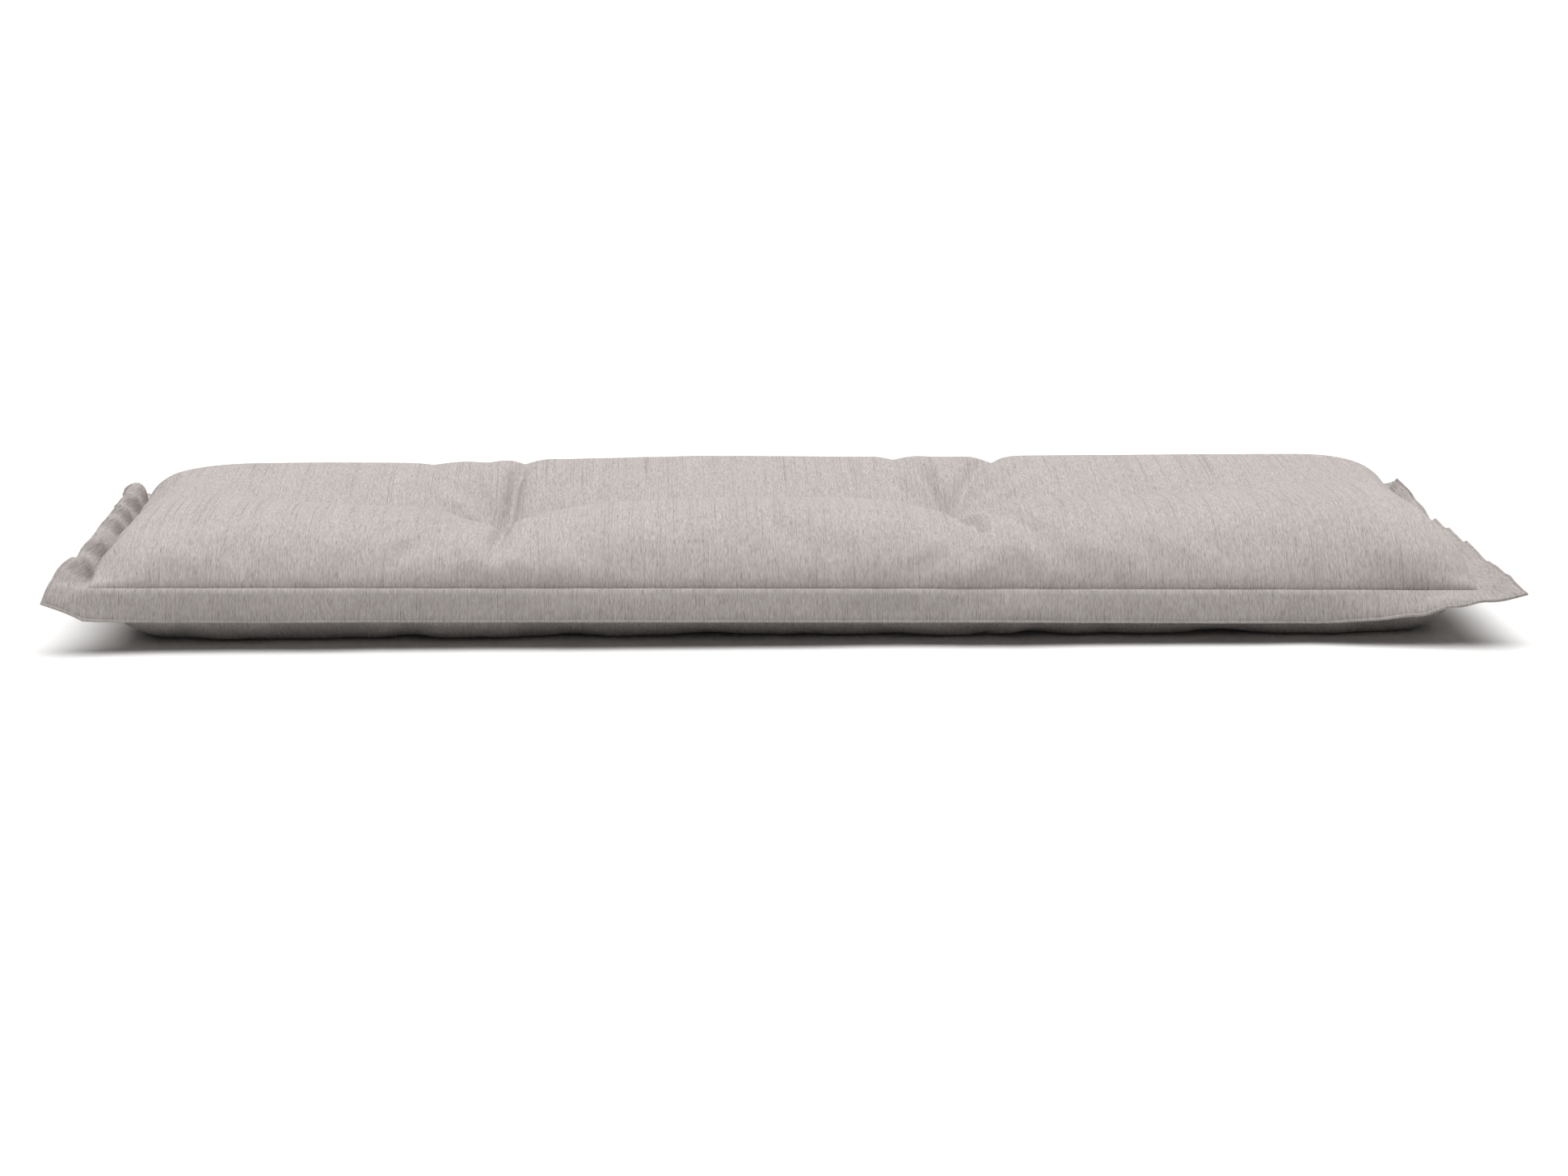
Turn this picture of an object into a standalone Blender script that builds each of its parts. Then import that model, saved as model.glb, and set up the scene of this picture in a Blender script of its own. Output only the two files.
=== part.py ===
"""Bench cushion lying on its back: a stuffed body with two tufts, inside a flat stitched flange.

Metres, +X along the length, +Y towards the back, +Z up, resting on z = 0.
"""
import math

import bmesh
import bpy
from mathutils import Vector

UP = Vector((0.0, 0.0, 1.0))

# overall sizes of the cover, without its drawn-out corners
LENGTH = 1.200
DEPTH = 0.480
FLANGE_WIDE = 0.028             # width of the flange along the cloth
FLANGE_THICK = 0.0020           # two layers of cloth
SEAM_GAP = 0.0004               # clearance between the body and the flange
SEAM_BEND = 0.0035              # cloth over which the flange bends out of the seam
EAR = 0.006                     # how far each corner of the flange is drawn out
DRAW_IN_LONG = 0.003            # how far filling pulls the long sides in at mid length
DRAW_IN_SIDE = 0.002

# body outline at the border seam
SEAM_X = LENGTH / 2 - FLANGE_WIDE
SEAM_Y = DEPTH / 2 - FLANGE_WIDE
SEAM_HEIGHT = 0.046
SEAM_FALL = 0.009               # drop of the seam per metre of +X

# crown of the top panel above the seam: place along the length, rise of the front half
CROWN = (
    (-0.570, 0.0470), (-0.400, 0.0503), (0.000, 0.0585), (0.440, 0.0610), (0.570, 0.0610),
)
# share of that rise in the back half
CROWN_BACK = (
    (-0.570, 0.96), (-0.270, 0.97), (-0.130, 0.98), (0.060, 0.96), (0.200, 0.97), (0.570, 0.96),
)
# how far in from each seam the top panel reaches its full height, and how square it rises:
# 2 is a quarter circle, more is squarer
TOP_EDGE = {"left": 0.106, "right": 0.092, "front": 0.105, "back": 0.105}
TOP_SQUARE = {"left": 2.45, "right": 2.35, "front": 1.9, "back": 2.0}
# fullness of the bottom panel; what would pass below the floor is flattened on it
BELLY = 0.058
BOTTOM_EDGE = {"left": 0.100, "right": 0.120, "front": 0.075, "back": 0.080}
BOTTOM_SQUARE = {"left": 2.1, "right": 1.75, "front": 1.9, "back": 2.0}

# tufts: x, y, extra depth of the top dimple, depth of the bottom dimple
TUFTS = (
    (-0.240, 0.000, 0.012, 0.030),
    (0.151, 0.000, 0.010, 0.030),
)
TOP_TUFT_REACH = 0.022
BOTTOM_TUFT_REACH = 0.030
# valley across the depth through each tuft: depth, reach to the left, right, front and back
CROSSES = (
    (0.038, 0.062, 0.058, 0.150, 0.070),
    (0.034, 0.050, 0.056, 0.150, 0.066),
)
CROSS_LEAN = 0.06               # the valleys lean this much towards +X behind the tufts

# lengthwise valley of the top panel: x, depth
VALLEY = (
    (-0.570, 0.000), (-0.500, 0.004), (-0.410, 0.017), (-0.320, 0.028), (-0.240, 0.032),
    (-0.190, 0.031), (-0.120, 0.028), (-0.040, 0.024), (0.050, 0.025), (0.100, 0.028),
    (0.151, 0.030), (0.205, 0.028), (0.300, 0.022), (0.400, 0.014), (0.500, 0.004), (0.570, 0.000),
)
VALLEY_REACH = 0.047

# folds of the top panel: from x, from y, to x, to y, depth, half width
FOLDS = (
    (-0.243, 0.004, -0.330, 0.118, 0.0044, 0.0080),
    (-0.242, 0.006, -0.306, 0.150, 0.0036, 0.0080),
    (-0.240, 0.006, -0.222, 0.165, 0.0060, 0.0080),
    (-0.243, -0.112, -0.352, -0.180, 0.0030, 0.0070),
    (-0.239, -0.020, -0.233, -0.170, 0.0045, 0.0080),
    (0.150, 0.004, 0.103, 0.165, 0.0056, 0.0080),
    (0.152, 0.006, 0.206, 0.165, 0.0042, 0.0080),
    (0.156, 0.010, 0.265, 0.122, 0.0034, 0.0080),
    (0.158, -0.070, 0.224, -0.204, 0.0046, 0.0070),
    (0.150, -0.020, 0.151, -0.150, 0.0036, 0.0080),
)

# lie of the flange: place along the side, angle at the seam and at the edge in degrees up from flat
FRONT_LIE = (
    (-0.572, -56, -64), (-0.552, -60, -74), (-0.505, -66, -84), (-0.440, -68, -86),
    (-0.360, -64, -82), (-0.250, -64, -82), (-0.115, -62, -80), (0.000, -62, -80),
    (0.150, -60, -78), (0.250, -62, -80), (0.345, -62, -80), (0.430, -60, -78),
    (0.480, -48, -62), (0.515, -34, -44), (0.545, -16, -22), (0.572, -4, -6),
)
BACK_LIE = (
    (-0.572, -8, -14), (-0.540, -4, -8), (-0.430, -18, -28), (-0.300, -10, -20), (-0.180, -22, -30),
    (-0.050, -14, -24), (0.090, -24, -30), (0.240, -14, -20), (0.380, -22, -30), (0.500, -12, -18),
    (0.545, 6, 10), (0.572, 28, 38),
)
LEFT_LIE = (
    (-0.212, 16, 24), (-0.198, 40, 30), (-0.182, 74, 10), (-0.170, 88, -40),
    (-0.118, 54, -70), (-0.104, 88, -8), (-0.012, 54, -70), (0.002, 88, -4),
    (0.050, 56, -66), (0.062, 88, -4), (0.106, 54, -66), (0.118, 88, -10),
    (0.158, 60, -56), (0.178, 86, -44), (0.195, 40, -20), (0.212, -2, -6),
)
RIGHT_LIE = (
    (-0.212, 28, 32), (-0.185, 24, 28), (-0.140, 22, 26), (-0.118, 12, 18), (-0.060, 21, 26),
    (-0.036, 10, 18), (0.012, 20, 26), (0.036, 10, 18), (0.080, 18, 24),
    (0.102, 4, 12), (0.140, 16, 24), (0.165, 16, 22), (0.190, 40, 48), (0.212, 50, 60),
)
# how late the cloth of each side turns from the first angle to the second: 1 is evenly
TURN = {"left": 3.5, "right": 1.3, "front": 1.3, "back": 1.3}

# spacing of the mesh lines
FLANGE_STEPS = 5
PROFILE_STEPS = 16               # steps of the sum along the flange's profile
EDGE_LINES = 5
MIDDLE_LINES_X = 42
MIDDLE_LINES_Y = 15

# cloth: colour, roughness
CLOTHS = {
    "filled_body": ((0.560, 0.520, 0.495, 1.0), 0.90),
    "flange": ((0.500, 0.462, 0.438, 1.0), 0.90),
}


def along(table, place, column=1):
    """Value of a table column at a place, running smoothly from row to row."""
    if place <= table[0][0]:
        return table[0][column]
    for low, high in zip(table, table[1:]):
        if place <= high[0]:
            t = (place - low[0]) / (high[0] - low[0])
            return low[column] + (high[column] - low[column]) * t * t * (3 - 2 * t)
    return table[-1][column]


def rounded(value, radius):
    """Absolute value with its corner rounded off."""
    return math.sqrt(value * value + radius * radius) - radius


def swell(distance, reach, power):
    """Rise from 0 at the seam to 1 at the given reach."""
    inward = min(max(distance / reach, 0.0), 1.0)
    return (1.0 - (1.0 - inward) ** power) ** (1.0 / power)


def side_names(x, y):
    return "left" if x < 0 else "right", "front" if y < 0 else "back"


def fullness(x, y, edge, square):
    """Share of the full crown at a point, along each axis."""
    end, long = side_names(x, y)
    return (swell(SEAM_X - abs(x), edge[end], square[end]),
            swell(SEAM_Y - abs(y), edge[long], square[long]))


def drawn_in(x, y):
    """Plan position after the filling has pulled the sides in between the corners."""
    across = min(abs(y) / SEAM_Y, 1.0)
    lengthwise = min(abs(x) / SEAM_X, 1.0)
    pull_y = DRAW_IN_LONG * across * (1.0 - lengthwise ** 2)
    pull_x = DRAW_IN_SIDE * lengthwise * (1.0 - across ** 2)
    return x - math.copysign(pull_x, x), y - math.copysign(pull_y, y)


def seam_level(x):
    return SEAM_HEIGHT - SEAM_FALL * x


def fold_depth(x, y):
    """Depth of the folds of the top panel."""
    depth = 0.0
    for from_x, from_y, to_x, to_y, deep, half in FOLDS:
        length = math.hypot(to_x - from_x, to_y - from_y)
        way_x, way_y = (to_x - from_x) / length, (to_y - from_y) / length
        run = (x - from_x) * way_x + (y - from_y) * way_y
        off = (y - from_y) * way_x - (x - from_x) * way_y
        if 0.0 < run < length:
            share = run / length
            size = math.sin(math.pi * share ** 0.6)
            depth += deep * size * math.exp(-rounded(off, 0.002) / half)
    return depth


def dimple_at(x, y, tuft_x, tuft_y, reach):
    """1 at a tuft, fading with the distance from it."""
    return math.exp(-rounded(math.hypot(x - tuft_x, y - tuft_y), 0.004) / reach)


def top_level(x, y):
    side, long = fullness(x, y, TOP_EDGE, TOP_SQUARE)
    back = min(max(0.5 + y / 0.080, 0.0), 1.0)
    rise = along(CROWN, x) * (1.0 - (1.0 - along(CROWN_BACK, x)) * back) * side * long
    hollows = [along(VALLEY, x) * side * math.exp(-rounded(y, 0.012) / VALLEY_REACH)]
    for (tuft_x, tuft_y, dimple, _), (cross, to_left, to_right, to_front, to_back) in zip(TUFTS, CROSSES):
        rise -= dimple * dimple_at(x, y, tuft_x, tuft_y, TOP_TUFT_REACH)
        off = x - tuft_x - CROSS_LEAN * max(y, 0.0)
        across = math.exp(-rounded(off, 0.004) / (to_left if off < 0 else to_right))
        ends = math.exp(-(y / (to_front if y < 0 else to_back)) ** 2)
        hollows.append(cross * across * long * ends)
    rise -= sum(hollow ** 3 for hollow in hollows) ** (1 / 3)
    rise -= fold_depth(x, y) * side * long
    return seam_level(x) + max(rise, 0.0)


def bottom_level(x, y):
    side, long = fullness(x, y, BOTTOM_EDGE, BOTTOM_SQUARE)
    drop = BELLY * side * long
    for tuft_x, tuft_y, _, dimple in TUFTS:
        drop -= dimple * dimple_at(x, y, tuft_x, tuft_y, BOTTOM_TUFT_REACH)
    return max(seam_level(x) - max(drop, 0.0), 0.0)


def hang(lie, turn, place, cloth):
    """Outward reach and rise of the flange at a distance along its cloth from the seam."""
    first, last = math.radians(along(lie, place, 1)), math.radians(along(lie, place, 2))
    reach, rise = 0.0, 0.0
    for k in range(PROFILE_STEPS):
        here = cloth * (k + 0.5) / PROFILE_STEPS
        angle = first + (last - first) * (here / FLANGE_WIDE) ** turn
        angle *= min(here / SEAM_BEND, 1.0)
        reach += math.cos(angle) * cloth / PROFILE_STEPS
        rise += math.sin(angle) * cloth / PROFILE_STEPS
    return reach, rise


def flange_place(x, y):
    """Where the flat cloth of the flange at (x, y) lies."""
    end, long = side_names(x, y)
    inner_x, inner_y = min(max(x, -SEAM_X), SEAM_X), min(max(y, -SEAM_Y), SEAM_Y)
    over_x, over_y = abs(x - inner_x), abs(y - inner_y)
    lies = {"left": LEFT_LIE, "right": RIGHT_LIE, "front": FRONT_LIE, "back": BACK_LIE}
    reach_x, rise_x = hang(lies[end], TURN[end], inner_y, over_x)
    reach_y, rise_y = hang(lies[long], TURN[long], inner_x, over_y)
    rise = rise_x + rise_y
    if over_x > 0.0 and over_y > 0.0:
        share = over_x / (over_x + over_y)
        rise = rise_x * share + rise_y * (1.0 - share)
    plan_x, plan_y = drawn_in(inner_x, inner_y)
    ear = EAR * over_x * over_y / FLANGE_WIDE ** 2
    return (plan_x + math.copysign(reach_x + ear, x), plan_y + math.copysign(reach_y + ear, y),
            seam_level(inner_x) + rise)


def mesh_lines(half, low_edge, high_edge, middle):
    """Grid lines between two seams, close together where the edge curves hardest."""
    angles = [math.pi / 2 * i / EDGE_LINES for i in range(EDGE_LINES + 1)]
    low = [-half + low_edge * (1.0 - math.cos(a)) for a in angles]
    high = [half - high_edge * (1.0 - math.cos(a)) for a in reversed(angles)]
    step = (high[0] - low[-1]) / (middle + 1)
    return low + [low[-1] + step * i for i in range(1, middle + 1)] + high


def with_flange(lines, half):
    """The same lines carried on over the flange, starting clear of the seam."""
    turned = SEAM_BEND / 2
    outer = [half + SEAM_GAP] + [half + turned + (FLANGE_WIDE - turned) * i / FLANGE_STEPS
                                 for i in range(FLANGE_STEPS + 1)]
    return [-v for v in reversed(outer)] + lines[1:-1] + outer


LINES_X = mesh_lines(SEAM_X, TOP_EDGE["left"], TOP_EDGE["right"], MIDDLE_LINES_X)
LINES_Y = mesh_lines(SEAM_Y, TOP_EDGE["front"], TOP_EDGE["back"], MIDDLE_LINES_Y)


def lay_grid(bm, lines_x, lines_y):
    """A flat grid on the given lines; returns its vertices."""
    made = bmesh.ops.create_grid(bm, x_segments=len(lines_x) - 1, y_segments=len(lines_y) - 1, size=0.5)
    for vert in made["verts"]:
        vert.co.x = lines_x[round((vert.co.x + 0.5) * (len(lines_x) - 1))]
        vert.co.y = lines_y[round((vert.co.y + 0.5) * (len(lines_y) - 1))]
    return made["verts"]


def lift(verts, level):
    """Raise flat cloth to a height function and draw its sides in."""
    for vert in verts:
        height = level(vert.co.x, vert.co.y)
        vert.co = (*drawn_in(vert.co.x, vert.co.y), height)


def build_body(bm):
    """Top and bottom panels on the same lines, closed along the border seam."""
    bottom = lay_grid(bm, LINES_X, LINES_Y)
    bmesh.ops.reverse_faces(bm, faces=bm.faces[:])
    lift(bottom, bottom_level)
    lift(lay_grid(bm, LINES_X, LINES_Y), top_level)
    bmesh.ops.remove_doubles(bm, verts=bm.verts[:], dist=0.00005)


def build_flange(bm):
    """One ring of doubled cloth round the seam."""
    lay_grid(bm, with_flange(LINES_X, SEAM_X), with_flange(LINES_Y, SEAM_Y))
    inside = []
    for face in bm.faces:
        centre = face.calc_center_median()
        if abs(centre.x) < SEAM_X and abs(centre.y) < SEAM_Y:
            inside.append(face)
    bmesh.ops.delete(bm, geom=inside, context="FACES")
    at_seam = {vert for vert in bm.verts
               if abs(vert.co.x) < SEAM_X + 2 * SEAM_GAP and abs(vert.co.y) < SEAM_Y + 2 * SEAM_GAP}
    for vert in bm.verts:
        vert.co = flange_place(vert.co.x, vert.co.y)
    bm.normal_update()
    offsets = {vert.co.to_tuple(): (UP if vert in at_seam else vert.normal) * (FLANGE_THICK / 2)
               for vert in bm.verts}
    made = bmesh.ops.extrude_face_region(bm, geom=bm.faces[:], use_keep_orig=True)
    lower = set(made["geom"])
    for vert in bm.verts:
        vert.co += offsets[vert.co.to_tuple()] * (-1 if vert in lower else 1)
    bmesh.ops.recalc_face_normals(bm, faces=bm.faces[:])


def cloth_material(name):
    colour, roughness = CLOTHS[name]
    material = bpy.data.materials.new(name + "_cloth")
    material.use_nodes = True
    shader = material.node_tree.nodes["Principled BSDF"]
    shader.inputs["Base Color"].default_value = colour
    shader.inputs["Roughness"].default_value = roughness
    shader.inputs["Metallic"].default_value = 0.0
    return material


def add_piece(name, build, collection):
    bm = bmesh.new()
    build(bm)
    mesh = bpy.data.meshes.new(name)
    bm.to_mesh(mesh)
    bm.free()
    mesh.shade_smooth()
    mesh.materials.append(cloth_material(name))
    collection.objects.link(bpy.data.objects.new(name, mesh))


for old in list(bpy.data.objects):
    bpy.data.objects.remove(old, do_unlink=True)

cushion = bpy.data.collections.new("bench_cushion")
bpy.context.scene.collection.children.link(cushion)
add_piece("filled_body", build_body, cushion)
add_piece("flange", build_flange, cushion)
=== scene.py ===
"""Bench cushion: stuffed, tufted body inside a flat stitched flange, in slubbed outdoor cloth."""
import math

import bpy
import numpy as np
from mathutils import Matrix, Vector, noise


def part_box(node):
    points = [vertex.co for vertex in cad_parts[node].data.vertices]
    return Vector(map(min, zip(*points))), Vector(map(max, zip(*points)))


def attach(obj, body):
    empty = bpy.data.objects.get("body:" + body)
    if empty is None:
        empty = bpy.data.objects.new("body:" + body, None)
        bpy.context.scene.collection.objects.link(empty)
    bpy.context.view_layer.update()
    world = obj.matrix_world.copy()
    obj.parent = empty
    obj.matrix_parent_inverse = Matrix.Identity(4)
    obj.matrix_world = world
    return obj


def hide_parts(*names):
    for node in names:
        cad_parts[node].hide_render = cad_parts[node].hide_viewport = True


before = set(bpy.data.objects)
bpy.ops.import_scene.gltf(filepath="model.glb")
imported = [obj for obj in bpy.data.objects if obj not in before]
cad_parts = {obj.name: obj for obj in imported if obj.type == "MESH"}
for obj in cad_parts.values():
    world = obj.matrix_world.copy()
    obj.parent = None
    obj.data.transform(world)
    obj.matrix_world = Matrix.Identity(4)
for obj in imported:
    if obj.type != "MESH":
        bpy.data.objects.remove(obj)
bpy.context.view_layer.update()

# ---------------------------------------------------------------- sizes
# the seam's outline comes from the CAD frame; the other driving sizes are those of the CAD source, with
# more and finer folds
body_low, body_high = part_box("filled_body")
SEAM_X = (body_high[0] - body_low[0]) / 2
SEAM_Y = (body_high[1] - body_low[1]) / 2
CLOTH_FLANGE = 0.0280           # width of the flange measured along the cloth
EAR = 0.006                     # how far each corner of the flange is drawn out
DRAW_IN_LONG = 0.003            # how far filling pulls the long sides in at mid length
DRAW_IN_SIDE = 0.002
SEAM_HEIGHT = 0.046
SEAM_FALL = 0.009               # drop of the seam per metre of +X

# crown of the top panel above the seam: place along the length, rise of the front half
CROWN = ((-0.570, 0.0470), (-0.400, 0.0503), (0.000, 0.0585), (0.440, 0.0610), (0.570, 0.0610))
# share of that rise in the back half
CROWN_BACK = (
    (-0.570, 0.96), (-0.270, 0.97), (-0.130, 0.98), (0.060, 0.96), (0.200, 0.97), (0.570, 0.96),
)
CROWN_BLEND = 0.080             # width over which the front half's crown passes into the back half's
# how far in from each seam a panel reaches its full height, and how square it rises:
# 2 is a quarter circle, more is squarer
TOP_EDGE = {"left": 0.106, "right": 0.092, "front": 0.105, "back": 0.105}
TOP_SQUARE = {"left": 2.45, "right": 2.35, "front": 1.9, "back": 2.0}
# fullness of the bottom panel; what would pass below the floor is flattened on it
BELLY = 0.058
BOTTOM_EDGE = {"left": 0.100, "right": 0.120, "front": 0.075, "back": 0.080}
BOTTOM_SQUARE = {"left": 2.1, "right": 1.75, "front": 1.9, "back": 2.0}

# tufts: x, y, extra depth of the top dimple, depth of the bottom dimple
TUFTS = (
    (-0.240, 0.000, 0.012, 0.030),
    (0.151, 0.000, 0.010, 0.030),
)
TOP_TUFT_REACH = 0.022
BOTTOM_TUFT_REACH = 0.030
TUFT_ROUND = 0.004              # radius at the bottom of a dimple
TUFT_HELD = 0.0055              # radius of the cloth that a tuft's thread holds
# valley across the depth through each tuft: depth, reach to the left, right, front and back
CROSSES = (
    (0.038, 0.062, 0.058, 0.150, 0.070),
    (0.034, 0.050, 0.056, 0.150, 0.066),
)
CROSS_LEAN = 0.06               # the valleys lean this much towards +X behind the tufts
CROSS_ROUND = 0.002

# lengthwise valley of the top panel: x, depth
VALLEY = (
    (-0.570, 0.000), (-0.500, 0.004), (-0.410, 0.017), (-0.320, 0.028), (-0.240, 0.032),
    (-0.190, 0.031), (-0.120, 0.028), (-0.040, 0.024), (0.050, 0.025), (0.100, 0.028),
    (0.151, 0.030), (0.205, 0.028), (0.300, 0.022), (0.400, 0.014), (0.500, 0.004), (0.570, 0.000),
)
VALLEY_REACH = 0.047
VALLEY_ROUND = 0.012

# folds of the top panel: from x, from y, to x, to y, depth, half width
FOLDS = (
    (-0.243, 0.004, -0.330, 0.118, 0.0044, 0.0052),
    (-0.262, 0.010, -0.300, 0.045, -0.0030, 0.0080),
    (-0.242, 0.006, -0.306, 0.150, 0.0036, 0.0048),
    (-0.240, 0.006, -0.222, 0.165, 0.0060, 0.0052),
    (-0.200, 0.040, -0.110, 0.120, 0.0016, 0.0090),
    (-0.243, -0.112, -0.352, -0.180, 0.0030, 0.0040),
    (-0.239, -0.020, -0.233, -0.170, 0.0045, 0.0050),
    (-0.234, -0.120, -0.243, -0.208, 0.0040, 0.0045),
    (-0.210, -0.095, -0.165, -0.172, 0.0016, 0.0060),
    (-0.262, -0.020, -0.360, -0.060, -0.0030, 0.0100),
    (-0.560, -0.035, -0.465, -0.008, 0.0014, 0.0060),
    (0.150, 0.004, 0.103, 0.165, 0.0056, 0.0052),
    (0.152, 0.006, 0.206, 0.165, 0.0042, 0.0052),
    (0.156, 0.010, 0.265, 0.122, 0.0034, 0.0060),
    (0.158, -0.070, 0.224, -0.204, 0.0046, 0.0042),
    (0.150, -0.085, 0.164, -0.190, 0.0028, 0.0045),
    (0.160, -0.085, 0.222, -0.140, 0.0018, 0.0040),
    (0.140, 0.010, 0.060, 0.100, 0.0014, 0.0100),
    (0.150, -0.020, 0.151, -0.150, 0.0036, 0.0055),
)
FOLD_ROUND = 0.001
FOLD_SKEW = 0.6                 # under 1, a fold is deepest in its first half
FOLD_NARROW = 0.7               # width at the start of a fold, as a share of its half width
FOLD_WIDEN = 0.9                # how much of the half width it gains by its end
LIP = 0.35                      # ridge on each side of a fold, as a share of its depth
LIP_PLACE = 2.6                 # where that ridge runs and how wide it is, in widths of the fold
LIP_WIDE = 1.3

# lie of the flange: place along the side, angle at the seam and at the edge (degrees, up from flat)
FRONT_LIE = (
    (-0.572, -56, -64), (-0.552, -60, -74), (-0.505, -66, -84), (-0.440, -68, -86),
    (-0.360, -64, -82), (-0.250, -64, -82), (-0.115, -62, -80), (0.000, -62, -80),
    (0.150, -60, -78), (0.250, -62, -80), (0.345, -62, -80), (0.430, -60, -78),
    (0.480, -48, -62), (0.515, -34, -44), (0.545, -16, -22), (0.572, -4, -6),
)
BACK_LIE = (
    (-0.572, -8, -14), (-0.540, -4, -8), (-0.430, -18, -28), (-0.300, -10, -20), (-0.180, -22, -30),
    (-0.050, -14, -24), (0.090, -24, -30), (0.240, -14, -20), (0.380, -22, -30), (0.500, -12, -18),
    (0.545, 6, 10), (0.572, 28, 38),
)
LEFT_LIE = (
    (-0.212, 16, 24), (-0.198, 40, 30), (-0.182, 74, 10), (-0.170, 88, -40),
    (-0.118, 54, -70), (-0.104, 88, -8), (-0.012, 54, -70), (0.002, 88, -4),
    (0.050, 56, -66), (0.062, 88, -4), (0.106, 54, -66), (0.118, 88, -10),
    (0.158, 60, -56), (0.178, 86, -44), (0.195, 40, -20), (0.212, -2, -6),
)
RIGHT_LIE = (
    (-0.212, 28, 32), (-0.185, 24, 28), (-0.140, 22, 26), (-0.118, 12, 18), (-0.060, 21, 26),
    (-0.036, 10, 18), (0.012, 20, 26), (0.036, 10, 18), (0.080, 18, 24),
    (0.102, 4, 12), (0.140, 16, 24), (0.165, 16, 22), (0.190, 40, 48), (0.212, 50, 60),
)
# how late the cloth of each side turns from the first angle to the second: 1 is evenly
TURN = {"front": 1.3, "back": 1.3, "left": 3.5, "right": 1.3}
SEAM_BEND = 0.0035              # cloth over which the flange bends out of the seam
TINY = 1e-9


def along(table, place, column=1):
    """Value of a table column at a place, or at many, running smoothly from row to row."""
    rows = np.array([[row[0], row[column]] for row in table], dtype=float)
    place = np.clip(place, rows[0, 0], rows[-1, 0])
    index = np.clip(np.searchsorted(rows[:, 0], place, side="right") - 1, 0, len(rows) - 2)
    t = (place - rows[index, 0]) / (rows[index + 1, 0] - rows[index, 0])
    t = t * t * (3 - 2 * t)
    return rows[index, 1] * (1 - t) + rows[index + 1, 1] * t


def rounded(value, radius):
    """Absolute value with its corner rounded off."""
    return np.sqrt(value * value + radius * radius) - radius


def swell(distance, reach, power):
    """Rise from 0 at the seam to 1 at the given reach."""
    inward = np.clip(distance / reach, 0.0, 1.0)
    return np.clip(1.0 - (1.0 - inward) ** power, 0.0, 1.0) ** (1.0 / power)


def fullness(x, y, edge, square):
    """Share of the full crown at a point, along each axis."""
    side = np.where(x < 0, swell(SEAM_X + x, edge["left"], square["left"]),
                    swell(SEAM_X - x, edge["right"], square["right"]))
    long = np.where(y < 0, swell(SEAM_Y + y, edge["front"], square["front"]),
                    swell(SEAM_Y - y, edge["back"], square["back"]))
    return side, long


def drawn_in(x, y):
    """Plan position after the filling has pulled the sides in between the corners."""
    across = np.minimum(np.abs(y) / SEAM_Y, 1.0)
    lengthwise = np.minimum(np.abs(x) / SEAM_X, 1.0)
    pull_y = DRAW_IN_LONG * across * (1.0 - lengthwise ** 2)
    pull_x = DRAW_IN_SIDE * lengthwise * (1.0 - across ** 2)
    return x - np.sign(x) * pull_x, y - np.sign(y) * pull_y


def seam_level(x):
    return SEAM_HEIGHT - SEAM_FALL * x


def fold_depth(x, y):
    """Depth of the folds of the top panel, with a low ridge beside each."""
    depth = np.zeros_like(x)
    for from_x, from_y, to_x, to_y, deep, half in FOLDS:
        length = math.hypot(to_x - from_x, to_y - from_y)
        along_x, along_y = (to_x - from_x) / length, (to_y - from_y) / length
        run = (x - from_x) * along_x + (y - from_y) * along_y
        off = (y - from_y) * along_x - (x - from_x) * along_y
        share = np.clip(run / length, 0.0, 1.0)
        size = np.sin(math.pi * share ** FOLD_SKEW)
        width = half * (FOLD_NARROW + FOLD_WIDEN * share)
        lip = np.exp(-((np.abs(off) - LIP_PLACE * width) / (LIP_WIDE * width)) ** 2)
        depth += deep * size * (np.exp(-rounded(off, FOLD_ROUND) / width) - LIP * lip)
    return depth


def top_level(x, y):
    side, long = fullness(x, y, TOP_EDGE, TOP_SQUARE)
    back = np.clip(0.5 + y / CROWN_BLEND, 0.0, 1.0)
    rise = along(CROWN, x) * (1.0 - (1.0 - along(CROWN_BACK, x)) * back) * side * long
    hollows = [along(VALLEY, x) * side * np.exp(-rounded(y, VALLEY_ROUND) / VALLEY_REACH)]
    for (tuft_x, tuft_y, dimple, _), (cross, to_left, to_right, to_front, to_back) in zip(TUFTS, CROSSES):
        reach = np.hypot(x - tuft_x, y - tuft_y)
        rise -= dimple * np.exp(-rounded(reach, TUFT_ROUND) / TOP_TUFT_REACH)
        off = x - tuft_x - CROSS_LEAN * np.maximum(y, 0.0)
        across = np.exp(-rounded(off, CROSS_ROUND) / np.where(off < 0, to_left, to_right))
        hollows.append(cross * across * long * np.exp(-(y / np.where(y < 0, to_front, to_back)) ** 2))
    rise -= sum(hollow ** 3 for hollow in hollows) ** (1 / 3)
    rise -= fold_depth(x, y) * side * long
    return seam_level(x) + np.maximum(rise, 0.0)


def bottom_level(x, y):
    side, long = fullness(x, y, BOTTOM_EDGE, BOTTOM_SQUARE)
    drop = BELLY * side * long
    for tuft_x, tuft_y, _, dimple in TUFTS:
        reach = np.hypot(x - tuft_x, y - tuft_y)
        drop -= dimple * np.exp(-rounded(reach, TUFT_ROUND) / BOTTOM_TUFT_REACH)
    return np.maximum(seam_level(x) - np.maximum(drop, 0.0), 0.0)


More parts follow.
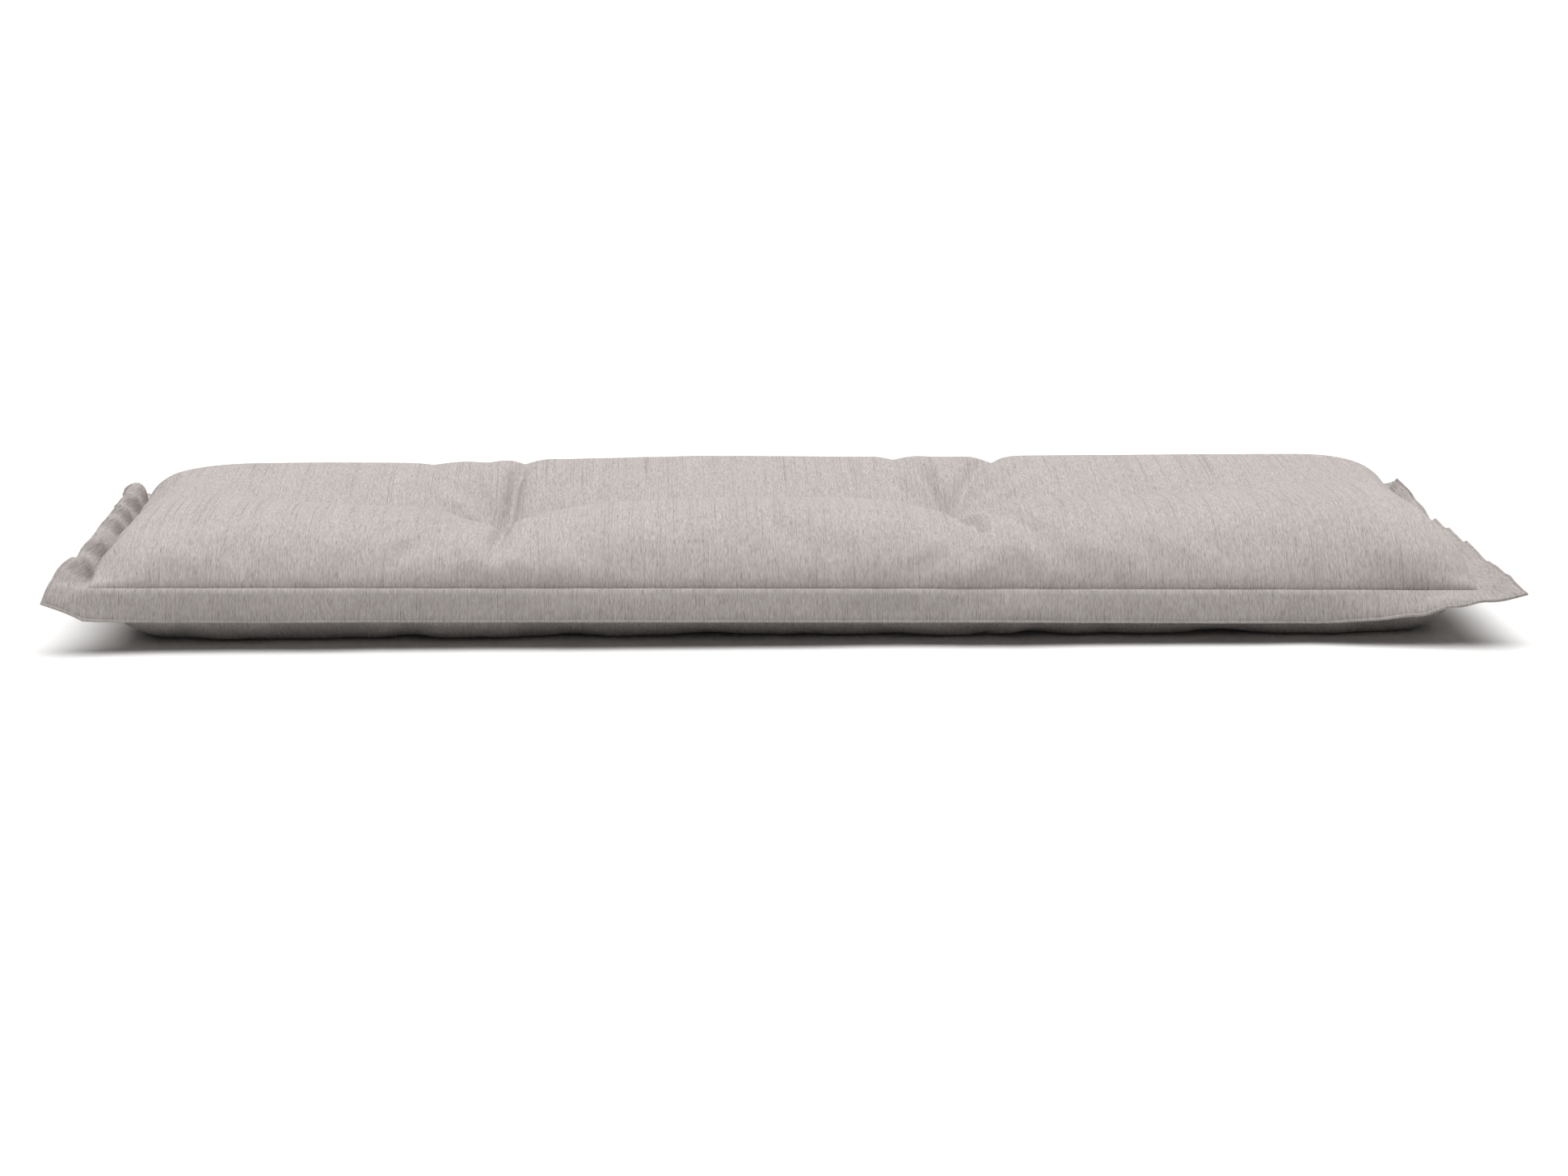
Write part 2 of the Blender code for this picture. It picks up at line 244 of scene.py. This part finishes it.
def new_object(name, verts, faces, cloth=None):
    """A mesh object; cloth gives each point its place along the cloth in metres."""
    mesh = bpy.data.meshes.new(name)
    mesh.from_pydata([tuple(v) for v in verts], [], [tuple(f) for f in faces])
    mesh.update()
    if cloth is not None:
        layer = mesh.attributes.new("cloth", "FLOAT_VECTOR", "POINT")
        layer.data.foreach_set("vector", np.asarray(cloth, dtype=np.float32).ravel())
    mesh.shade_smooth()
    ob = bpy.data.objects.new(name, mesh)
    bpy.context.scene.collection.objects.link(ob)
    return ob


DENSE_REACH = 0.06              # distance over which the fine spacing passes into the coarse one


def spaced(low, high, fine, coarse, dense):
    """Lines from low to high, fine near the two ends and near the dense places."""
    lines = [low]
    while lines[-1] < high:
        here = lines[-1]
        near = min([here - low, high - here] + [abs(here - d) for d in dense])
        lines.append(here + fine + (coarse - fine) * min(max(near / DENSE_REACH, 0.0), 1.0))
    lines = np.array(lines)
    return low + (lines - low) * (high - low) / (lines[-1] - low)


# ---------------------------------------------------------------- body
LINES_X = spaced(-SEAM_X, SEAM_X, fine=0.0040, coarse=0.0090, dense=[tuft[0] for tuft in TUFTS])
LINES_Y = spaced(-SEAM_Y, SEAM_Y, fine=0.0035, coarse=0.0080, dense=[0.0])
BOTTOM_CLOTH = (0.0, 0.0, 3.0)  # keeps the bottom panel's yarn unlike the top panel's
EVEN_SWELL = 0.85               # share of the broad swelling that is taken off again
BROAD_ROUNDS = 60               # averaging that leaves only the broad swelling
FOLDS_AGAIN = 0.8               # share of the folds that is pressed in again after the swelling
SMOOTH_ROUNDS = 2


def cloth_lengths(panel):
    """Distance along the cloth of each point of a panel's grid."""
    dx = np.linalg.norm(np.diff(panel, axis=0), axis=-1).mean(axis=1)
    dy = np.linalg.norm(np.diff(panel, axis=1), axis=-1)
    sx = np.concatenate([[0.0], np.cumsum(dx)])
    sy = np.concatenate([np.zeros((len(panel), 1)), np.cumsum(dy, axis=1)], axis=1)
    return np.stack([np.broadcast_to(sx[:, None], sy.shape), sy, np.zeros_like(sy)], -1)


def body_mesh():
    """Top and bottom panels joined along the seam, and what is held when they swell."""
    nx, ny = len(LINES_X), len(LINES_Y)
    x, y = np.meshgrid(LINES_X, LINES_Y, indexing="ij")
    px, py = drawn_in(x, y)
    top = np.stack([px, py, top_level(x, y)], -1)
    bottom = np.stack([px, py, bottom_level(x, y)], -1)
    top_id = np.arange(nx * ny).reshape(nx, ny)
    bottom_id = np.full((nx, ny), -1)
    edge = np.zeros((nx, ny), bool)
    edge[0], edge[-1], edge[:, 0], edge[:, -1] = True, True, True, True
    bottom_id[edge] = top_id[edge]
    bottom_id[~edge] = nx * ny + np.arange((~edge).sum())
    verts = np.concatenate([top.reshape(-1, 3), bottom[~edge]])
    faces = []
    for ids, flip in ((top_id, False), (bottom_id, True)):
        quad = np.stack([ids[:-1, :-1], ids[1:, :-1], ids[1:, 1:], ids[:-1, 1:]], -1).reshape(-1, 4)
        faces.append(quad[:, ::-1] if flip else quad)
    faces = np.concatenate(faces)
    cloth = np.concatenate([cloth_lengths(top).reshape(-1, 3), cloth_lengths(bottom)[~edge] + BOTTOM_CLOTH])
    pin = np.zeros(len(verts))
    pin[top_id[edge]] = 1.0
    for tuft_x, tuft_y, _, _ in TUFTS:
        near = np.hypot(verts[:, 0] - tuft_x, verts[:, 1] - tuft_y) < TUFT_HELD
        pin[near] = 1.0
    return verts, faces, cloth, pin, top_id


def sharper_folds():
    """Depth that is pressed into the top panel again."""
    x, y = np.meshgrid(LINES_X, LINES_Y, indexing="ij")
    side, long = fullness(x, y, TOP_EDGE, TOP_SQUARE)
    return FOLDS_AGAIN * fold_depth(x, y) * side * long


def puff_up(ob, faces, pin, frames=20, pressure=4.0, cap=0.008):
    """Blow the panels up against their seam and tufts, and keep the result."""
    group = ob.vertex_groups.new(name="held")
    for index in np.nonzero(pin)[0]:
        group.add([int(index)], float(pin[index]), "REPLACE")
    cloth = ob.modifiers.new("Cloth", "CLOTH")
    settings = cloth.settings
    settings.quality = 6
    settings.mass = 0.3
    settings.tension_stiffness = 30
    settings.compression_stiffness = 30
    settings.shear_stiffness = 12
    settings.bending_stiffness = 0.4
    settings.air_damping = 3
    settings.use_pressure = True
    settings.uniform_pressure_force = pressure
    settings.shrink_min = -0.035
    settings.vertex_group_mass = "held"
    settings.effector_weights.gravity = 0.0
    cloth.collision_settings.use_collision = False
    scene = bpy.context.scene
    cloth.point_cache.frame_start, cloth.point_cache.frame_end = 1, frames
    count = len(ob.data.vertices)
    before = np.empty(count * 3, np.float32)
    ob.data.vertices.foreach_get("co", before)
    before = before.reshape(-1, 3)
    for number in range(1, frames + 1):
        scene.frame_set(number)
    solved = ob.evaluated_get(bpy.context.evaluated_depsgraph_get())
    after = np.empty(count * 3, np.float32)
    solved.data.vertices.foreach_get("co", after)
    after = after.reshape(-1, 3)
    ob.modifiers.remove(cloth)
    scene.frame_set(1)
    move = after - before
    far = np.linalg.norm(move, axis=1, keepdims=True)
    move *= np.where(far > TINY, cap * np.tanh(far / cap) / np.maximum(far, TINY), 1.0)
    broad = smooth(move.astype(float), faces, np.zeros(count, bool), BROAD_ROUNDS)
    return before + move - EVEN_SWELL * broad * (1.0 - pin[:, None])


def smooth(verts, faces, keep, rounds, amount=0.5):
    """Average each vertex with its neighbours, leaving the kept ones."""
    a = np.concatenate([faces[:, k] for k in range(4)])
    b = np.concatenate([faces[:, (k + 1) % 4] for k in range(4)])
    pairs = np.unique(np.sort(np.stack([a, b], 1), axis=1), axis=0)
    for _ in range(rounds):
        total = np.zeros_like(verts)
        count = np.zeros(len(verts))
        np.add.at(total, pairs[:, 0], verts[pairs[:, 1]])
        np.add.at(total, pairs[:, 1], verts[pairs[:, 0]])
        np.add.at(count, pairs[:, 0], 1)
        np.add.at(count, pairs[:, 1], 1)
        mean = total / count[:, None]
        verts = np.where(keep[:, None], verts, verts * (1 - amount) + mean * amount)
    return verts


verts, faces, cloth, pin, top_id = body_mesh()
body = new_object("stuffed_body", verts, faces, cloth)
verts = puff_up(body, faces, pin).astype(float)
verts = smooth(verts, faces, pin > 0.5, SMOOTH_ROUNDS)
verts[:top_id.size, 2] -= sharper_folds().ravel()
verts[:, 2] = np.maximum(verts[:, 2], 0.0)
body.data.vertices.foreach_set("co", verts.astype(np.float32).ravel())
body.data.update()
subdivide = body.modifiers.new("Subdivision", "SUBSURF")
subdivide.levels = subdivide.render_levels = 1


# ---------------------------------------------------------------- flange
PROFILE_STEPS = 24              # steps of the sum along the flange's profile
RING_STEPS = 10                 # mesh steps across the flange, and along each side
RING_LINES_X = 300
RING_LINES_Y = 130
RING_THICK = 0.0022
TUCK = 0.002                    # seam allowance caught between the two panels
EDGE_LINE = 0.0024              # distance of the edge seam from the edge
EDGE_GROOVE = 0.0005            # half width and depth of the groove that it pulls in
# soft waves of the flange: how many a metre, seed, height
RIPPLES = ((11.0, 3.0, 0.0026), (34.0, 9.0, 0.0011))
RIPPLE_RISE = 1.6               # they reach their full height at 1 / 1.6 of the flange's width
NOISE_GAIN = 1.6
RING_CLOTH = (0.62, 0.26)       # cloth coordinates of the middle of the ring


def lie_of(side, place):
    """Angles in radians of the flange at the seam and at its edge."""
    table = {"front": FRONT_LIE, "back": BACK_LIE, "left": LEFT_LIE, "right": RIGHT_LIE}[side]
    return np.radians(along(table, place, 1)), np.radians(along(table, place, 2))


def profile(side, place, t):
    """Outward reach and rise of the flange at cloth distance t from the seam."""
    first, last = lie_of(side, place)
    reach, rise = np.zeros_like(t), np.zeros_like(t)
    for k in range(PROFILE_STEPS):
        here = t * (k + 0.5) / PROFILE_STEPS
        angle = first + (last - first) * (here / CLOTH_FLANGE) ** TURN[side]
        angle = angle * np.clip(here / SEAM_BEND, 0.0, 1.0)
        reach = reach + np.cos(angle) * t / PROFILE_STEPS
        rise = rise + np.sin(angle) * t / PROFILE_STEPS
    return reach, rise


def wave(u, v, scale, seed):
    """Smooth repeatable unevenness between about -1 and 1."""
    flat = [noise.noise(Vector((a * scale, b * scale, seed))) for a, b in zip(np.ravel(u), np.ravel(v))]
    return np.array(flat).reshape(np.shape(u)) * NOISE_GAIN


def flange_surface(u, v):
    """Middle of the flange where the flat cloth lies at (u, v); beyond the seam on one side or two."""
    over_x = np.clip(np.abs(u) - SEAM_X, 0.0, None)
    over_y = np.clip(np.abs(v) - SEAM_Y, 0.0, None)
    x0 = np.clip(u, -SEAM_X, SEAM_X)
    y0 = np.clip(v, -SEAM_Y, SEAM_Y)
    px, py = drawn_in(x0, y0)
    reach_x, rise_x = np.zeros_like(u), np.zeros_like(u)
    reach_y, rise_y = np.zeros_like(u), np.zeros_like(u)
    for side, mask in (("left", u < 0), ("right", u >= 0)):
        reach, rise = profile(side, y0, over_x)
        reach_x, rise_x = np.where(mask, reach, reach_x), np.where(mask, rise, rise_x)
    for side, mask in (("front", v < 0), ("back", v >= 0)):
        reach, rise = profile(side, x0, over_y)
        reach_y, rise_y = np.where(mask, reach, reach_y), np.where(mask, rise, rise_y)
    share = over_x / np.maximum(over_x + over_y, TINY)
    rise = np.where((over_x > 0) & (over_y > 0), rise_x * share + rise_y * (1 - share), rise_x + rise_y)
    ear = EAR * over_x * over_y / CLOTH_FLANGE ** 2
    px = px + np.sign(u) * (reach_x + ear)
    py = py + np.sign(v) * (reach_y + ear)
    return np.stack([px, py, seam_level(x0) + rise], -1)


def surface_normals(grid):
    """Unit normals of a grid of points, pointing up on flat cloth."""
    normal = np.cross(np.gradient(grid, axis=0), np.gradient(grid, axis=1))
    return normal / np.maximum(np.linalg.norm(normal, axis=-1, keepdims=True), 1e-12)


def ring_lines(seam, count):
    """Grid lines from edge to edge, with the tuck inside the seam and the groove near the edge."""
    inner = np.concatenate([[-seam], np.linspace(-seam + TUCK, seam - TUCK, count), [seam]])
    groove = CLOTH_FLANGE - EDGE_LINE
    out = np.concatenate([np.linspace(0.0, groove - EDGE_GROOVE, RING_STEPS + 1)[1:],
                          [groove, groove + EDGE_GROOVE, CLOTH_FLANGE]])
    return np.concatenate([-seam - out[::-1], inner, seam + out])


def flange_mesh():
    """The ring's middle surface, left open inside the seam."""
    u, v = np.meshgrid(ring_lines(SEAM_X, RING_LINES_X), ring_lines(SEAM_Y, RING_LINES_Y), indexing="ij")
    middle = flange_surface(u, v)
    over = np.maximum(np.abs(u) - SEAM_X, np.abs(v) - SEAM_Y).clip(0.0) / CLOTH_FLANGE
    ripple = sum(wave(u, v, scale, seed) * height for scale, seed, height in RIPPLES)
    middle += surface_normals(middle) * (ripple * np.clip(over * RIPPLE_RISE, 0.0, 1.0))[..., None]
    groove = np.exp(-((over - 1.0 + EDGE_LINE / CLOTH_FLANGE) * CLOTH_FLANGE / EDGE_GROOVE) ** 2)
    middle -= surface_normals(middle) * (groove * EDGE_GROOVE)[..., None]
    used = (np.abs(u) >= SEAM_X - TUCK - TINY) | (np.abs(v) >= SEAM_Y - TUCK - TINY)
    cell = used[:-1, :-1] & used[1:, :-1] & used[1:, 1:] & used[:-1, 1:]
    mid_u = (u[:-1, :-1] + u[1:, 1:]) / 2
    mid_v = (v[:-1, :-1] + v[1:, 1:]) / 2
    cell &= (np.abs(mid_u) > SEAM_X - TUCK) | (np.abs(mid_v) > SEAM_Y - TUCK)
    ids = np.full(u.shape, -1)
    ids[used] = np.arange(used.sum())
    quad = np.stack([ids[:-1, :-1], ids[1:, :-1], ids[1:, 1:], ids[:-1, 1:]], -1)[cell]
    cloth = np.stack([u + RING_CLOTH[0], v + RING_CLOTH[1], np.zeros_like(u)], -1)
    return middle[used], quad, cloth[used]


ring_verts, ring_faces, ring_cloth = flange_mesh()
flange = new_object("border_flange", ring_verts, ring_faces, ring_cloth)
solid = flange.modifiers.new("Solidify", "SOLIDIFY")
solid.thickness = RING_THICK
solid.offset = 0.0
rim = flange.modifiers.new("Bevel", "BEVEL")
rim.width = 0.0008
rim.segments = 2
rim.limit_method = "ANGLE"
rim.angle_limit = math.radians(50)


# ---------------------------------------------------------------- cloth
WARP_STEP = 0.00095             # spacing of the warp ribs and of the picks that cross them
PICK_STEP = 0.00120
BODY_TONE = 1.09                # lightness of the cloth: more is lighter
# the flange's copy of the cloth gets a lower tone: painted shade where the puff keeps the light off the
# flange
FLANGE_SHADED_TONE = 0.94


def cloth_material(name, tone):
    """Slubbed plain weave whose yarn streaks run across the depth of the cushion."""
    material = bpy.data.materials.new(name)
    material.use_nodes = True
    tree = material.node_tree
    nodes, links = tree.nodes, tree.links
    shader = nodes["Principled BSDF"]

    def node(kind, **values):
        made = nodes.new(kind)
        for key, value in values.items():
            setattr(made, key, value)
        return made

    def math_node(operation, a, b=None, c=None):
        made = node("ShaderNodeMath", operation=operation)
        for slot, value in zip(made.inputs, (a, b, c)):
            if value is None:
                continue
            if isinstance(value, (int, float)):
                slot.default_value = value
            else:
                links.new(value, slot)
        return made.outputs[0]

    def stretched(scale_x, scale_y, seed):
        mapping = node("ShaderNodeMapping")
        mapping.inputs["Location"].default_value = (seed, seed * 0.37, seed * 1.7)
        mapping.inputs["Scale"].default_value = (scale_x, scale_y, 1.0)
        links.new(place.outputs["Vector"], mapping.inputs["Vector"])
        return mapping.outputs["Vector"]

    def speckle(scale_x, scale_y, seed, detail=2.0, rough=0.5):
        made = node("ShaderNodeTexNoise")
        made.inputs["Scale"].default_value = 1.0
        made.inputs["Detail"].default_value = detail
        made.inputs["Roughness"].default_value = rough
        links.new(stretched(scale_x, scale_y, seed), made.inputs["Vector"])
        return made.outputs["Fac"]

    def ramp(value, *stops):
        made = node("ShaderNodeValToRGB")
        elements = made.color_ramp.elements
        while len(elements) < len(stops):
            elements.new(0.5)
        for element, (at, colour) in zip(elements, stops):
            element.position = at
            element.color = (*colour, 1.0)
        links.new(value, made.inputs["Fac"])
        return made.outputs["Color"]

    def mix(kind, share, a, b):
        made = node("ShaderNodeMix", data_type="RGBA", blend_type=kind)
        for slot, value in ((made.inputs["Factor"], share), (made.inputs["A"], a), (made.inputs["B"], b)):
            if isinstance(value, (int, float)):
                slot.default_value = value
            elif isinstance(value, tuple):
                slot.default_value = (*value, 1.0)
            else:
                links.new(value, slot)
        return made.outputs["Result"]

    # noise drawn out along the yarn: how many a metre across it and along it, seed, detail, roughness
    place = node("ShaderNodeAttribute", attribute_name="cloth")
    fine = speckle(1500.0, 230.0, 3.1, 1.0, 0.5)
    slub = speckle(1050.0, 90.0, 8.7, 2.0, 0.6)
    line = speckle(900.0, 5.0, 12.9, 1.0, 0.5)
    band = speckle(90.0, 6.0, 15.3, 2.0, 0.5)
    patch = speckle(9.0, 9.0, 21.9, 3.0, 0.55)

    # every colour is scaled by the tone; on the flange the lower tone is painted shade
    def toned(red, green, blue):
        return tone * red, tone * green, tone * blue

    thread = ramp(fine, (0.26, toned(0.250, 0.224, 0.214)), (0.50, toned(0.412, 0.376, 0.362)),
                  (0.72, toned(0.540, 0.502, 0.487)))
    yarn = ramp(slub, (0.30, toned(0.235, 0.210, 0.200)), (0.45, toned(0.392, 0.357, 0.343)),
                (0.58, toned(0.424, 0.388, 0.374)), (0.72, toned(0.550, 0.512, 0.497)))
    colour = mix("MIX", 0.5, thread, yarn)
    streak = ramp(line, (0.24, (0.72, 0.71, 0.705)), (0.42, (1.0, 1.0, 1.0)), (0.80, (1.07, 1.07, 1.07)))
    colour = mix("MULTIPLY", 1.0, colour, streak)
    shade = ramp(band, (0.25, (0.96, 0.96, 0.96)), (0.75, (1.03, 1.03, 1.03)))
    colour = mix("MULTIPLY", 1.0, colour, shade)
    age = ramp(patch, (0.30, (0.972, 0.969, 0.966)), (0.70, (1.02, 1.02, 1.02)))
    colour = mix("MULTIPLY", 1.0, colour, age)
    links.new(colour, shader.inputs["Base Color"])

    # weave: warp ribs running along the slubs, crossed by picks
    split = node("ShaderNodeSeparateXYZ")
    links.new(place.outputs["Vector"], split.inputs[0])
    rib = math_node("SINE", math_node("MULTIPLY", split.outputs[0], 2 * math.pi / WARP_STEP))
    pick = math_node("SINE", math_node("MULTIPLY", split.outputs[1], 2 * math.pi / PICK_STEP))
    weave = math_node("MULTIPLY", rib, pick)
    height = math_node("MULTIPLY_ADD", weave, 0.25, math_node("MULTIPLY", slub, 1.6))
    height = math_node("ADD", height, math_node("MULTIPLY", fine, 0.9))
    bump = node("ShaderNodeBump")
    bump.inputs["Strength"].default_value = 0.75
    bump.inputs["Distance"].default_value = 0.0008
    links.new(height, bump.inputs["Height"])
    links.new(bump.outputs["Normal"], shader.inputs["Normal"])
    rough = node("ShaderNodeMapRange")
    rough.inputs["To Min"].default_value = 0.82
    rough.inputs["To Max"].default_value = 0.96
    links.new(slub, rough.inputs["Value"])
    links.new(rough.outputs["Result"], shader.inputs["Roughness"])
    shader.inputs["Specular IOR Level"].default_value = 0.25
    shader.inputs["Sheen Weight"].default_value = 0.12
    shader.inputs["Sheen Roughness"].default_value = 0.5
    return material


body.data.materials.append(cloth_material("body_cloth", BODY_TONE))
# the flange's cloth: the same weave as the body's, darkened as painted shade
flange.data.materials.append(cloth_material("flange_cloth", FLANGE_SHADED_TONE))

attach(body, "root")
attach(flange, "root")
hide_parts("filled_body")
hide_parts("flange")


# ---------------------------------------------------------------- floor, light, camera
FLOOR_HALF = 90.0


def plain_material(name, colour, roughness):
    material = bpy.data.materials.new(name)
    material.use_nodes = True
    shader = material.node_tree.nodes["Principled BSDF"]
    shader.inputs["Base Color"].default_value = (*colour, 1.0)
    shader.inputs["Roughness"].default_value = roughness
    shader.inputs["Specular IOR Level"].default_value = 0.2
    return material


corners = [(x * FLOOR_HALF, y * FLOOR_HALF, 0.0) for x, y in ((-1, -1), (1, -1), (1, 1), (-1, 1))]
floor = new_object("floor", corners, [(0, 1, 2, 3)])
floor.data.materials.append(plain_material("floor_white", (0.80, 0.795, 0.79), 0.9))

world = bpy.data.worlds.new("studio")
bpy.context.scene.world = world
world.use_nodes = True
background = world.node_tree.nodes["Background"]
background.inputs["Color"].default_value = (1.0, 1.0, 1.0, 1.0)
background.inputs["Strength"].default_value = 0.10


def sun(name, direction, strength, spread, colour=(1.0, 1.0, 1.0)):
    """A soft lamp shining along a direction."""
    data = bpy.data.lights.new(name, "SUN")
    data.energy = strength
    data.angle = math.radians(spread)
    data.color = colour
    ob = bpy.data.objects.new(name, data)
    ob.rotation_euler = Vector(direction).to_track_quat("-Z", "Y").to_euler()
    bpy.context.scene.collection.objects.link(ob)


sun("key", (-0.02, -0.08, -1.0), 4.75, 76.0, (1.0, 0.995, 0.988))

CAMERA_PLACE = (-0.1114, -3.1081, 0.637)
CAMERA_DOWN = 11.48             # degrees below level, and towards +X
CAMERA_TURN = 2.14
lens = bpy.data.cameras.new("camera")
lens.lens = 82.97
lens.sensor_width = 36.0
lens.clip_end = 200.0
camera = bpy.data.objects.new("camera", lens)
camera.location = CAMERA_PLACE
camera.rotation_euler = (math.radians(90 - CAMERA_DOWN), 0.0, -math.radians(CAMERA_TURN))
bpy.context.scene.collection.objects.link(camera)
bpy.context.scene.camera = camera
bpy.context.scene.view_settings.view_transform = "Standard"
